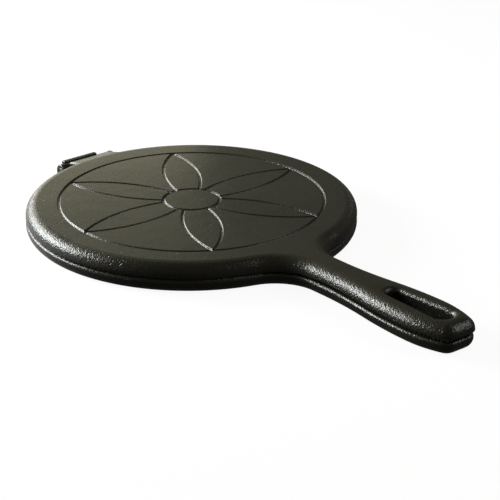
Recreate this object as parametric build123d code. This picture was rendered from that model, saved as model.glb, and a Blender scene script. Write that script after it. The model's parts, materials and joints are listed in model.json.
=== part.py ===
"""Cast iron stroopwafel iron: two hinged baking plates, each cast in one piece with its half of the handle.

Millimetres. The origin is the centre of the round plate, on the face that the iron rests on.
+X runs along the handle, +Y along the hinge pin and +Z up.
"""
from build123d import *
import math
import os

# Plates
PLATE_DIAMETER = 200.0
UPPER_THICKNESS = 9.6
LOWER_THICKNESS = 8.4
UPPER_EDGE_RADIUS = 7.0
LOWER_EDGE_RADIUS = 6.2
PARTING_EDGE_RADIUS = 2.0
RIM_INSET = 0.5
RIM_HEIGHT = 4.0
RIM_EDGE_RADIUS = 0.7

# Handle, with its lengths measured from the plate's rim
UPPER_HANDLE_LENGTH = 131.3
LOWER_HANDLE_LENGTH = 130.3
WAIST_LENGTH = 28.0
WAIST_WIDTH = 22.0
LOOP_LENGTH = 101.0
LOOP_WIDTH = 33.0
END_WIDTH = 20.0
END_CORNER_RADIUS = 8.0
NECK_RADIUS = 25.0
HANDLE_GAP = 2.2

# Slot through the handle, narrow towards the plate, measured back from the handle's end
SLOT_OUTER_FROM_END = 17.3
SLOT_OUTER_RADIUS = 6.2
SLOT_INNER_FROM_END = 54.5
SLOT_INNER_RADIUS = 4.4
SLOT_FACE_RADIUS = 3.2
SLOT_PARTING_RADIUS = 1.0

# Baking faces
BAKE_DIAMETER = 172.0
BAKE_DEPTH = 2.4
BAKE_WALL_RUN = 1.2
GRID_DIAMETER = 168.0
GRID_PITCH = 8.0
GRID_GROOVE_WIDTH = 2.2
GRID_FLOOR_WIDTH = 0.6
GRID_GROOVE_DEPTH = 1.1
GRID_ANGLE = 45.0

# Rosette engraved in both outer faces
ROSETTE_RADIUS = 80.0
ROSETTE_EYE_RADIUS = 17.0
ROSETTE_PETALS = 6
ROSETTE_ANGLE = 30.0
LINE_WIDTH = 2.2
LINE_FLOOR_WIDTH = 0.8
LINE_DEPTH = 0.9

# Hinge
PIN_DIAMETER = 5.0
PIN_BEHIND_PLATE = 7.5
PIN_OVER_PARTING = 0.7
PIN_END_RADIUS = 0.8
DRIVE_CLEARANCE = 0.02
RUNNING_CLEARANCE = 0.08
SIDE_CLEARANCE = 0.35
HINGE_WIDTH = 40.8
EAR_WIDTH = 3.9
EAR_RADIUS = 4.7
EAR_EDGE_RADIUS = 1.0
EAR_ARM_UNDER_PARTING = 0.6
EAR_ARM_OVER_GROUND = 1.6
BARREL_RADIUS = 4.4
RIB_LENGTH = 25.4
RIB_BEHIND_PIN = 1.6
RIB_THICKNESS = 2.6
RIB_OVER_BARREL = 1.1
RIB_EDGE_RADIUS = 0.7
TONGUE_OVERHANG = 3.4
TONGUE_DROP = 2.4
TONGUE_EDGE_RADIUS = 1.2
TONGUE_OVER_PARTING = 0.6
WEB_THICKNESS = 3.4

# Derived places
PLATE_RADIUS = PLATE_DIAMETER / 2
PARTING_Z = LOWER_THICKNESS
TOP_Z = LOWER_THICKNESS + UPPER_THICKNESS
PIN_X = -PLATE_RADIUS - PIN_BEHIND_PLATE
PIN_Z = PARTING_Z + PIN_OVER_PARTING
EAR_OUTER_Y = HINGE_WIDTH / 2
EAR_INNER_Y = EAR_OUTER_Y - EAR_WIDTH
BARREL_END_Y = EAR_INNER_Y - SIDE_CLEARANCE
SLOT_END_X = PLATE_RADIUS + UPPER_HANDLE_LENGTH


def handle_outline(length):
    """The handle in plan, running into the plate, with the blunt corners of its end rounded."""
    root = (PLATE_RADIUS / 2, WAIST_WIDTH / 2)
    waist = (PLATE_RADIUS + WAIST_LENGTH, WAIST_WIDTH / 2)
    loop = (PLATE_RADIUS + LOOP_LENGTH, LOOP_WIDTH / 2)
    middle = ((waist[0] + loop[0]) / 2, (waist[1] + loop[1]) / 2)
    end = (PLATE_RADIUS + length, END_WIDTH / 2)
    flare = TangentArc(waist, middle, tangent=(1, 0))
    side = [
        Line(root, waist),
        flare,
        TangentArc(middle, loop, tangent=flare % 1),
        TangentArc(loop, end, tangent=(1, 0)),
    ]
    other = [edge.mirror(Plane.XZ) for edge in side]
    ends = [Line(end, (end[0], -end[1])), Line(root, (root[0], -root[1]))]
    outline = make_face(side + other + ends)
    corners = outline.vertices().group_by(Axis.X)[-1]
    return fillet(corners, END_CORNER_RADIUS)


def slot_outline():
    """The egg-shaped slot in plan."""
    inner = Pos(SLOT_END_X - SLOT_INNER_FROM_END, 0) * Circle(SLOT_INNER_RADIUS)
    outer = Pos(SLOT_END_X - SLOT_OUTER_FROM_END, 0) * Circle(SLOT_OUTER_RADIUS)
    return make_hull(inner.edges() + outer.edges())


def casting_outline(length):
    """Plate, handle and the concave necks between them, in plan, with the slot open."""
    outline = Circle(PLATE_RADIUS) + handle_outline(length)
    necks = [
        corner for corner in outline.vertices()
        if corner.X > 0 and math.isclose(math.hypot(corner.X, corner.Y), PLATE_RADIUS, abs_tol=0.01)
    ]
    return fillet(necks, NECK_RADIUS) - slot_outline()


def face_at(casting, z):
    """The horizontal face nearest to a height."""
    return casting.faces().filter_by(Axis.Z).sort_by(lambda face: abs(face.center().Z - z))[0]


def round_edges(casting, z, outside, inside):
    """Rounds the outline and the slot's edge on the face at a height."""
    casting = fillet(face_at(casting, z).outer_wire().edges(), outside)
    return fillet(face_at(casting, z).inner_wires()[0].edges(), inside)


def handle_relief():
    """What lifts the upper half handle off the lower: a gap that opens between the plate's rim and the waist."""
    ramp_end = PLATE_RADIUS + WAIST_LENGTH
    far_x = PLATE_RADIUS + 2 * UPPER_HANDLE_LENGTH
    profile = Polyline((PLATE_RADIUS, 0), (ramp_end, HANDLE_GAP), (far_x, HANDLE_GAP), (far_x, 0), close=True)
    return Pos(0, 0, PARTING_Z) * extrude(Plane.XZ * make_face(profile), PLATE_RADIUS, both=True)


def casting_blank(length, thickness, edge_radius, outer_z):
    """One half's plate and handle. Its outer face is at outer_z and it meets the other half at PARTING_Z."""
    bottom_z = min(outer_z, PARTING_Z)
    blank = extrude(Pos(0, 0, bottom_z) * casting_outline(length), thickness)
    blank = round_edges(blank, outer_z, edge_radius, SLOT_FACE_RADIUS)
    blank = round_edges(blank, PARTING_Z, PARTING_EDGE_RADIUS, SLOT_PARTING_RADIUS)
    blank -= handle_relief()
    inwards = 1 if outer_z > PARTING_Z else -1
    rim = Cylinder(PLATE_RADIUS - RIM_INSET, RIM_HEIGHT)
    rim = Pos(0, 0, PARTING_Z + inwards * RIM_HEIGHT / 2) * rim
    meeting_edge = rim.edges().sort_by(lambda edge: abs(edge.center().Z - PARTING_Z))[0]
    return blank + fillet(meeting_edge, RIM_EDGE_RADIUS)


def groove_section(width, floor_width, depth):
    """A tapered groove's section across X, cut down from z = 0 and open above it."""
    top_width = 2 * width - floor_width
    return make_face(Polyline(
        (-top_width / 2, 0, depth),
        (top_width / 2, 0, depth),
        (floor_width / 2, 0, -depth),
        (-floor_width / 2, 0, -depth),
        close=True,
    ))


def round_groove(section, radius, start_angle=0.0, arc=360.0):
    """A groove along an arc about the Z axis."""
    return Rot(0, 0, start_angle) * revolve(Pos(radius, 0) * section, Axis.Z, arc)


def grid_grooves(turn):
    """The baking grid's parallel grooves in one direction, each as long as its chord of the grid's circle."""
    radius = GRID_DIAMETER / 2
    section = groove_section(GRID_GROOVE_WIDTH, GRID_FLOOR_WIDTH, GRID_GROOVE_DEPTH)
    count = int((radius - GRID_GROOVE_WIDTH) // GRID_PITCH)
    grooves = []
    for step in range(-count, count + 1):
        offset = step * GRID_PITCH
        half = math.sqrt(radius**2 - offset**2)
        grooves.append(Rot(0, 0, turn) * Pos(offset, 0) * extrude(section, half, both=True))
    return grooves


def ring_angle(chord):
    """The angle that a chord spans in a circle as large as the rosette's outer ring."""
    return 2 * math.degrees(math.asin(chord / ROSETTE_RADIUS / 2))


def rosette_grooves():
    """The engraved rosette: two rings, and between them petals drawn by arcs of the outer ring's radius."""
    section = groove_section(LINE_WIDTH, LINE_FLOOR_WIDTH, LINE_DEPTH)
    grooves = [round_groove(section, ROSETTE_RADIUS), round_groove(section, ROSETTE_EYE_RADIUS)]
    eye = ring_angle(ROSETTE_EYE_RADIUS)
    reach = ring_angle(ROSETTE_RADIUS) - eye
    for petal in range(ROSETTE_PETALS):
        centre = Rot(0, 0, ROSETTE_ANGLE + petal * 360 / ROSETTE_PETALS) * Pos(ROSETTE_RADIUS, 0)
        for start in (180 + eye, 180 - eye - reach):
            grooves.append(centre * round_groove(section, ROSETTE_RADIUS, start, reach))
    return grooves


def baking_recess():
    """The shallow round recess of a baking face, cut down from z = 0."""
    radius = BAKE_DIAMETER / 2
    section = make_face(Polyline(
        (0, 0, BAKE_DEPTH),
        (radius + BAKE_WALL_RUN, 0, BAKE_DEPTH),
        (radius - BAKE_WALL_RUN, 0, -BAKE_DEPTH),
        (0, 0, -BAKE_DEPTH),
        close=True,
    ))
    return revolve(section, Axis.Z)


def cut_faces(casting, outer, parting):
    """Engraves the outer face and cuts the baking face's recess and grid."""
    floor = parting.offset(-BAKE_DEPTH).location
    casting -= [outer.location * groove for groove in rosette_grooves()]
    casting -= parting.location * baking_recess()
    casting -= [floor * groove for groove in grid_grooves(GRID_ANGLE)]
    casting -= [floor * groove for groove in grid_grooves(GRID_ANGLE + 90)]
    return casting


def face_plane(z, up):
    """A horizontal plane at a height, whose normal points up or down."""
    return Plane(origin=(0, 0, z), x_dir=(1, 0, 0), z_dir=(0, 0, 1 if up else -1))


def along_pin(radius, start_y, end_y):
    """A cylinder on the hinge pin's axis between two places along Y."""
    return Pos(PIN_X, (start_y + end_y) / 2, PIN_Z) * Rot(90, 0, 0) * Cylinder(radius, end_y - start_y)


def block(x, y, z):
    """A box between two places along each axis."""
    return Pos(sum(x) / 2, sum(y) / 2, sum(z) / 2) * Box(x[1] - x[0], y[1] - y[0], z[1] - z[0])


def tongue():
    """The tongue behind the upper plate: it falls away from the plate's top, and its top edges are rounded."""
    root_x = -PLATE_RADIUS + UPPER_EDGE_RADIUS
    back_x = -PLATE_RADIUS - TONGUE_OVERHANG
    bottom_z = PARTING_Z + TONGUE_OVER_PARTING
    profile = Polyline(
        (root_x, TOP_Z),
        (back_x, TOP_Z - TONGUE_DROP),
        (back_x, bottom_z),
        (root_x, bottom_z),
        close=True,
    )
    solid = extrude(Plane.XZ * make_face(profile), BARREL_END_Y, both=True)
    top = solid.faces().sort_by(Axis.Z)[-1]
    return fillet(top.edges().sort_by(Axis.X)[:-1], TONGUE_EDGE_RADIUS)


def upper_plate():
    """The upper casting: plate, half handle, tongue, and the hinge barrel with the rib along its back."""
    casting = casting_blank(UPPER_HANDLE_LENGTH, UPPER_THICKNESS, UPPER_EDGE_RADIUS, TOP_Z)
    width = (-BARREL_END_Y, BARREL_END_Y)
    web_z = PARTING_Z + TONGUE_OVER_PARTING
    web = block((PIN_X, -PLATE_RADIUS + UPPER_EDGE_RADIUS), width, (web_z, web_z + WEB_THICKNESS))
    rib_x = PIN_X - RIB_BEHIND_PIN
    rib_y = (-BARREL_END_Y, -BARREL_END_Y + RIB_LENGTH)
    rib = block((rib_x - RIB_THICKNESS, rib_x), rib_y, (PIN_Z, PIN_Z + BARREL_RADIUS + RIB_OVER_BARREL))
    rib = fillet(rib.edges().group_by(Axis.Z)[-1], RIB_EDGE_RADIUS)
    casting += [tongue(), web, rib, along_pin(BARREL_RADIUS, *width)]
    casting -= along_pin(PIN_DIAMETER / 2 + RUNNING_CLEARANCE, *width)
    return cut_faces(casting, face_plane(TOP_Z, True), face_plane(PARTING_Z, False))


def lower_plate():
    """The lower casting: plate, half handle, and the two ears that hold the pin."""
    casting = casting_blank(LOWER_HANDLE_LENGTH, LOWER_THICKNESS, LOWER_EDGE_RADIUS, 0)
    root_x = -PLATE_RADIUS + 2 * LOWER_EDGE_RADIUS
    for start_y in (-EAR_OUTER_Y, EAR_INNER_Y):
        width = (start_y, start_y + EAR_WIDTH)
        arm = block((PIN_X, root_x), width, (EAR_ARM_OVER_GROUND, PARTING_Z - EAR_ARM_UNDER_PARTING))
        ear = along_pin(EAR_RADIUS, *width)
        ear = fillet(ear.edges().filter_by(GeomType.CIRCLE), EAR_EDGE_RADIUS)
        casting += [arm, ear]
        casting -= along_pin(PIN_DIAMETER / 2 + DRIVE_CLEARANCE, *width)
    return cut_faces(casting, face_plane(0, False), face_plane(PARTING_Z, True))


def hinge_pin():
    """The steel pin, driven into both ears, with its ends rounded over."""
    pin = along_pin(PIN_DIAMETER / 2, -EAR_OUTER_Y, EAR_OUTER_Y)
    ends = pin.edges().filter_by(GeomType.CIRCLE)
    return fillet(ends, PIN_END_RADIUS)


def main():
    """Builds each piece and writes it to its own file."""
    os.makedirs("parts", exist_ok=True)
    for name, piece in (
        ("upper_plate", upper_plate()),
        ("lower_plate", lower_plate()),
        ("hinge_pin", hinge_pin()),
    ):
        export_step(piece, f"parts/{name}.step")


main()
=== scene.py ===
"""Looks of the cast iron stroopwafel iron: oil-seasoned castings, a darkened steel pin, and a pale studio."""
import json
import logging
from dataclasses import dataclass, field
from enum import Enum
from typing import Any

import bmesh
import bpy
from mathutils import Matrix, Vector

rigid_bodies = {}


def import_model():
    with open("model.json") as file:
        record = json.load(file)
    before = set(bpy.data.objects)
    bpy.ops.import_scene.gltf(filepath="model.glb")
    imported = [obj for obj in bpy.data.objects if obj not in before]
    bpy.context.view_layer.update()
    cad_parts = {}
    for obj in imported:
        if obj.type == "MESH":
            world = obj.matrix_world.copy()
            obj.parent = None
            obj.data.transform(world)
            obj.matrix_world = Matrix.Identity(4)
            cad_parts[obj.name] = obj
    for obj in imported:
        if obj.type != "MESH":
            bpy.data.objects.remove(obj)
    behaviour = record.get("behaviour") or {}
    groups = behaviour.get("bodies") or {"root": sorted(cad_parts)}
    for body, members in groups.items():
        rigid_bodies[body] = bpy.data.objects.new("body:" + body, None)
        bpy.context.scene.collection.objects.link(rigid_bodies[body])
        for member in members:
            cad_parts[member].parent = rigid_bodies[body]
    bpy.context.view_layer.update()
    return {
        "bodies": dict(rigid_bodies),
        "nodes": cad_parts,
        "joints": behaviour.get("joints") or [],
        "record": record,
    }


log = logging.getLogger("stroopwafel_iron")

Colour = tuple[float, float, float]
Span = tuple[float, float]
Point = tuple[float, float, float]
NOISE_MIDDLE = 0.5
WHITE: Colour = (1.0, 1.0, 1.0)


class Piece(Enum):
    """The iron's pieces, by the names of their nodes."""

    UPPER_PLATE = "upper_plate"
    LOWER_PLATE = "lower_plate"
    HINGE_PIN = "hinge_pin"


class Link:
    """A node socket that can be used in arithmetic; each operation adds the node that does it."""

    def __init__(self, nodes: "Nodes", socket: bpy.types.NodeSocket | None) -> None:
        """Wraps a socket of a node tree."""
        self.nodes = nodes
        self.socket = socket

    def _maths(self, operation: str, *values: Any) -> "Link":
        """Adds a Math node.

        Args:
            operation: the Math node's operation.
            values: its inputs, as numbers or links.

        Returns:
            The node's result.
        """
        return self.nodes.add("ShaderNodeMath", {"operation": operation}, dict(enumerate(values)))

    def __add__(self, other: Any) -> "Link":
        """self + other."""
        return self._maths("ADD", self, other)

    def __radd__(self, other: Any) -> "Link":
        """other + self."""
        return self._maths("ADD", other, self)

    def __sub__(self, other: Any) -> "Link":
        """self - other."""
        return self._maths("SUBTRACT", self, other)

    def __rsub__(self, other: Any) -> "Link":
        """other - self."""
        return self._maths("SUBTRACT", other, self)

    def __mul__(self, other: Any) -> "Link":
        """self * other."""
        return self._maths("MULTIPLY", self, other)

    def __rmul__(self, other: Any) -> "Link":
        """other * self."""
        return self._maths("MULTIPLY", other, self)

    def between(self, low: float, high: float) -> "Link":
        """A smooth step from 0 at low to 1 at high.

        Args:
            low: the value that gives 0.
            high: the value that gives 1. It may be the smaller one.

        Returns:
            The step's value.
        """
        ordered = low < high
        ends = (low, high) if ordered else (high, low)
        step = self.nodes.add(
            "ShaderNodeMapRange",
            {"interpolation_type": "SMOOTHSTEP"},
            {"Value": self, "From Min": ends[0], "From Max": ends[1]},
        )
        return step if ordered else 1 - step


class Nodes:
    """The node tree of a material or of the world."""

    def __init__(self, name: str, owner: bpy.types.World | None = None) -> None:
        """Empties the owner's tree, or makes a new material with that name."""
        self.material = owner or bpy.data.materials.new(name)
        self.material.use_nodes = True
        self.tree = self.material.node_tree
        self.tree.nodes.clear()

    def add(
        self,
        kind: str,
        settings: dict[str, Any] | None = None,
        inputs: dict[Any, Any] | None = None,
        output: int | str = 0,
    ) -> Link:
        """Adds a node.

        Args:
            kind: the node's type.
            settings: its properties, which are set first.
            inputs: values or links for its sockets, by name or number.
            output: the socket that is returned.

        Returns:
            The chosen output of the new node, or an empty link for a node that has none.
        """
        node = self.tree.nodes.new(kind)
        for key, value in (settings or {}).items():
            setattr(node, key, value)
        for key, value in (inputs or {}).items():
            if isinstance(value, Link):
                self.tree.links.new(value.socket, node.inputs[key])
            else:
                node.inputs[key].default_value = value
        return Link(self, node.outputs[output] if node.outputs else None)

    def place(self) -> Link:
        """The surface point, in the object's own metres."""
        return self.add("ShaderNodeTexCoord", output="Object")

    def along(self, axis: str) -> Link:
        """How far the surface point lies along X, Y or Z."""
        return self.add("ShaderNodeSeparateXYZ", inputs={0: self.place()}, output=axis)

    def noise(self, spots: "Spots") -> Link:
        """Noise over the surface, around NOISE_MIDDLE."""
        return self.add(
            "ShaderNodeTexNoise",
            inputs={
                "Vector": self.place(),
                "Scale": 1 / spots.size,
                "Detail": spots.layers,
                "Roughness": spots.layer_share,
            },
        )

    def bump(self, height: Link) -> Link:
        """Relief, from a height in metres."""
        return self.add("ShaderNodeBump", inputs={"Height": height, "Strength": 1.0, "Distance": 1.0})

    def blend(self, factor: Any, first: Any, second: Any) -> Link:
        """Mixes two colours.

        Args:
            factor: 0 gives the first, 1 the second.
            first: a colour or link.
            second: a colour or link.

        Returns:
            The mixed colour.
        """
        return self.add(
            "ShaderNodeMix",
            {"data_type": "RGBA"},
            {"Factor": factor, "A": _rgba(first), "B": _rgba(second)},
            output="Result",
        )

    def finish(self, values: dict[str, Any]) -> bpy.types.Material:
        """Adds the Principled shader and the output.

        Args:
            values: its sockets' values or links, by name.

        Returns:
            The finished material.
        """
        shader = self.add("ShaderNodeBsdfPrincipled", inputs=values)
        self.add("ShaderNodeOutputMaterial", inputs={"Surface": shader})
        return self.material


def _rgba(colour: Any) -> Any:
    """A colour with its alpha, or the link as it is."""
    return colour if isinstance(colour, Link) else (*colour, 1.0)


@dataclass(frozen=True)
class Spots:
    """Spots over a surface: their width in metres, their finer layers, and the strength of those."""

    size: float
    layers: float = 4.0
    layer_share: float = 0.55


@dataclass(frozen=True)
class SeasonedIron:
    """Sand-cast iron under a baked coat of oil: olive black, smooth on its flat faces, grainy elsewhere."""

    name: str = "seasoned_iron"
    dark: Colour = (0.011, 0.0108, 0.0088)
    pale: Colour = (0.018, 0.0174, 0.0132)
    rust: Colour = (0.022, 0.0165, 0.0110)
    pit: Colour = (0.010, 0.0095, 0.0075)
    face_roughness: float = 0.29
    edge_roughness: float = 0.24
    grain_roughness: float = 0.2
    cloud_roughness: float = 0.08
    specular_level: float = 0.4
    face_heights: Span = (0.0, 0.018)
    face_blend: float = 0.0007
    hinge_start: float = -0.099
    hinge_blend: float = 0.003
    grain: Spots = Spots(0.0010, 1.5, 0.6)
    face_grain: float = 0.00004
    edge_grain: float = 0.00037
    hinge_grain: float = 0.00012
    swell: Spots = Spots(0.012, 2.0)
    swell_height: float = 0.00010
    cloud: Spots = Spots(0.07, 4.0, 0.6)
    cloud_edge: Span = (0.3, 0.7)
    stain: Spots = Spots(0.018, 3.0, 0.6)
    stain_edge: Span = (0.50, 0.75)
    stain_share: float = 0.5
    pits: Spots = Spots(0.0026, 1.0)
    pit_edge: Span = (0.68, 0.76)
    pit_depth: float = 0.00008
    pit_share: float = 0.6

    def material(self) -> bpy.types.Material:
        """The node material."""
        nodes = Nodes(self.name)
        cloud = nodes.noise(self.cloud)
        stain = nodes.noise(self.stain).between(*self.stain_edge)
        grain = nodes.noise(self.grain)
        swell = nodes.noise(self.swell)
        pits = nodes.noise(self.pits).between(*self.pit_edge)
        coat = nodes.blend(cloud.between(*self.cloud_edge), self.dark, self.pale)
        coat = nodes.blend(stain * self.stain_share, coat, self.rust)
        across = nodes.along("Z")
        low, high = self.face_heights
        edge = across.between(low, low + self.face_blend) * across.between(high, high - self.face_blend)
        hinge = nodes.along("X").between(self.hinge_start, self.hinge_start - self.hinge_blend)
        relief = self.face_grain + edge * (self.edge_grain - self.face_grain)
        relief = relief + hinge * (self.hinge_grain - relief)
        height = grain * relief + swell * self.swell_height - pits * self.pit_depth
        satin = self.face_roughness + edge * (self.edge_roughness - self.face_roughness)
        satin = satin + (grain - NOISE_MIDDLE) * self.grain_roughness
        satin = satin + (cloud - NOISE_MIDDLE) * self.cloud_roughness
        return nodes.finish(
            {
                "Base Color": nodes.blend(pits * self.pit_share, coat, self.pit),
                "Roughness": satin,
                "Normal": nodes.bump(height),
                "Specular IOR Level": self.specular_level,
            }
        )


@dataclass(frozen=True)
class PinSteel:
    """Darkened steel, turned and slightly scratched."""

    name: str = "pin_steel"
    dark: Colour = (0.035, 0.033, 0.028)
    pale: Colour = (0.10, 0.095, 0.085)
    roughness: float = 0.42
    spots: Spots = Spots(0.0011)
    spot_edge: Span = (0.35, 0.65)
    spot_roughness: float = 0.3
    spot_height: float = 0.00004

    def material(self) -> bpy.types.Material:
        """The node material."""
        nodes = Nodes(self.name)
        spots = nodes.noise(self.spots)
        return nodes.finish(
            {
                "Base Color": nodes.blend(spots.between(*self.spot_edge), self.dark, self.pale),
                "Metallic": 1.0,
                "Roughness": self.roughness + (spots - NOISE_MIDDLE) * self.spot_roughness,
                "Normal": nodes.bump(spots * self.spot_height),
            }
        )


@dataclass
class Castings:
    """The iron's own pieces, dressed in their finishes."""

    frame: dict[str, Any]
    finishes: dict[Piece, SeasonedIron | PinSteel] = field(
        default_factory=lambda: {
            Piece.UPPER_PLATE: SeasonedIron(),
            Piece.LOWER_PLATE: SeasonedIron(),
            Piece.HINGE_PIN: PinSteel(),
        }
    )

    def dress(self) -> None:
        """Gives each piece its material."""
        made: dict[str, bpy.types.Material] = {}
        for piece, finish in self.finishes.items():
            if finish.name not in made:
                made[finish.name] = finish.material()
            node = self.frame["nodes"][piece.value]
            node.data.materials.clear()
            node.data.materials.append(made[finish.name])
            log.info("dressed %s in %s", piece.value, finish.name)


@dataclass(frozen=True)
class SoftBox:
    """One studio lamp: where it hangs, its size and its power in watts."""

    name: str
    place: Point
    size: Span
    power: float
    aim: Point = (0.03, 0.0, 0.01)
    colour: Colour = WHITE

    def hang(self) -> None:
        """Adds the lamp, pointed at its aim."""
        light = bpy.data.lights.new(self.name, "AREA")
        light.shape = "RECTANGLE"
        light.size, light.size_y = self.size
        light.energy = self.power
        light.color = self.colour
        lamp = bpy.data.objects.new(self.name, light)
        lamp.location = self.place
        lamp.rotation_euler = (Vector(self.aim) - Vector(self.place)).to_track_quat("-Z", "Y").to_euler()
        lamp.visible_camera = False
        bpy.context.scene.collection.objects.link(lamp)


@dataclass(frozen=True)
class Glow:
    """A level of light that rises from dark to bright over a span along the bright side."""

    dark: float
    bright: float
    span: Span


@dataclass
class Studio:
    """A white floor and room, soft boxes, and the camera where the photographer stood."""

    floor_size: float = 12.0
    parting_height: float = 0.0084
    lens: float = 155.81
    sensor: float = 36.0
    camera: Vector = field(default_factory=lambda: Vector((0.9503, -0.7549, 0.4941)))
    target: Vector = field(default_factory=lambda: Vector((0.0653, -0.0089, 0.0)))
    bright_side: Point = (-0.94, -0.34, 0.0)
    # painted reflection: the floor's glow in glossy rays, bright on the lamp's side and painted shade at its
    # dark end
    painted_floor_reflection: Glow = Glow(0.06, 0.9, (0.0, 0.11))
    floor_paint: Colour = (0.85, 0.85, 0.85)
    floor_bounce: Colour = (0.15, 0.15, 0.15)
    room_glow: Glow = Glow(0.135, 0.80, (0.40, 0.72))
    room_fill: float = 0.10
    room_tint: Colour = (1.0, 0.97, 0.70)
    shadow_share: float = 0.12
    backdrop: float = 1.06
    lamps: tuple[SoftBox, ...] = (
        SoftBox("left_box", (-0.52, -0.34, 0.24), (0.44, 0.28), 8.9, colour=(0.96, 1.0, 0.99)),
        SoftBox("side_box", (-0.62, 0.02, 0.17), (0.34, 0.20), 1.2, aim=(-0.08, 0.0, 0.01)),
        SoftBox("right_box", (0.60, 0.50, 0.50), (0.4, 0.4), 2.0),
        SoftBox(
            "back_card",
            (-0.33, 0.11, 0.08),
            (0.26, 0.09),
            0.075,
            aim=(-0.06, 0.0, 0.01),
            colour=(1.0, 0.97, 0.68),
        ),
    )

    @staticmethod
    def seen(nodes: Nodes) -> tuple[Link, Link]:
        """Two masks: rays from the camera, and rays off or through a glossy surface."""
        path = nodes.add("ShaderNodeLightPath", output="Is Camera Ray")
        rays = path.socket.node.outputs
        return path, Link(nodes, rays["Is Glossy Ray"]) + Link(nodes, rays["Is Transmission Ray"])

    def side_light(self, nodes: Nodes, place: Link, glow: Glow) -> Link:
        """A level that rises towards the lamp's side.

        Args:
            nodes: the tree it is made in.
            place: the point or direction that is shaded.
            glow: the levels and where they lie.

        Returns:
            The level.
        """
        along = nodes.add(
            "ShaderNodeVectorMath",
            {"operation": "DOT_PRODUCT"},
            {0: place, 1: self.bright_side},
            output="Value",
        )
        return glow.dark + along.between(*glow.span) * (glow.bright - glow.dark)

    def floor(self) -> None:
        """The floor: white to the camera apart from the object's shadow; in reflections a painted glow,
        bright on the lamp's side and painted shade, nearly black, away from it.
        """
        mesh = bpy.data.meshes.new("floor")
        shape = bmesh.new()
        bmesh.ops.create_grid(shape, x_segments=1, y_segments=1, size=self.floor_size / 2)
        shape.to_mesh(mesh)
        shape.free()
        floor = bpy.data.objects.new("floor", mesh)
        bpy.context.scene.collection.objects.link(floor)
        nodes = Nodes("floor_paint")
        camera_ray, gloss_ray = self.seen(nodes)
        # painted reflection: in glossy rays the floor glows bright on the lamp's side and is painted shade,
        # nearly black, in front of the iron
        pale = self.side_light(nodes, nodes.place(), self.painted_floor_reflection)
        strength = camera_ray * self.backdrop + gloss_ray * pale
        white = nodes.add("ShaderNodeEmission", inputs={"Strength": strength})
        colour = nodes.blend(camera_ray, self.floor_bounce, self.floor_paint)
        paint = nodes.add("ShaderNodeBsdfDiffuse", inputs={"Color": colour})
        share = camera_ray * (1 - self.shadow_share) + gloss_ray
        mixed = nodes.add("ShaderNodeMixShader", inputs={0: share, 1: paint, 2: white})
        nodes.add("ShaderNodeOutputMaterial", inputs={"Surface": mixed})
        mesh.materials.append(nodes.material)
        log.info("made the floor")

    def room(self) -> None:
        """The room: white to the camera, bright on the lamp's side in reflections, a soft fill elsewhere."""
        world = bpy.data.worlds.new("room")
        bpy.context.scene.world = world
        nodes = Nodes("room", world)
        camera_ray, gloss_ray = self.seen(nodes)
        direction = nodes.add("ShaderNodeTexCoord", output="Generated")
        pale = self.side_light(nodes, direction, self.room_glow)
        strength = camera_ray + gloss_ray * pale + (1 - camera_ray - gloss_ray) * self.room_fill
        colour = nodes.blend(camera_ray, self.room_tint, WHITE)
        light = nodes.add("ShaderNodeBackground", inputs={"Color": colour, "Strength": strength})
        nodes.add("ShaderNodeOutputWorld", inputs={"Surface": light})
        log.info("lit the room")

    def shoot(self) -> None:
        """Sets up the camera; its place and target are measured from the line between the castings."""
        data = bpy.data.cameras.new("camera")
        data.lens = self.lens
        data.sensor_width = self.sensor
        camera = bpy.data.objects.new("camera", data)
        camera.location = self.camera + Vector((0, 0, self.parting_height))
        camera.rotation_euler = (self.target - self.camera).to_track_quat("-Z", "Y").to_euler()
        bpy.context.scene.collection.objects.link(camera)
        bpy.context.scene.camera = camera

    def build(self) -> None:
        """Sets up the whole studio."""
        self.shoot()
        self.floor()
        self.room()
        for lamp in self.lamps:
            lamp.hang()
        bpy.context.scene.view_settings.view_transform = "Standard"
        log.info("set up the studio")


def main() -> None:
    """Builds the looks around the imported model."""
    logging.basicConfig(level=logging.INFO)
    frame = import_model()
    Castings(frame).dress()
    Studio().build()


if __name__ == "__main__":
    main()
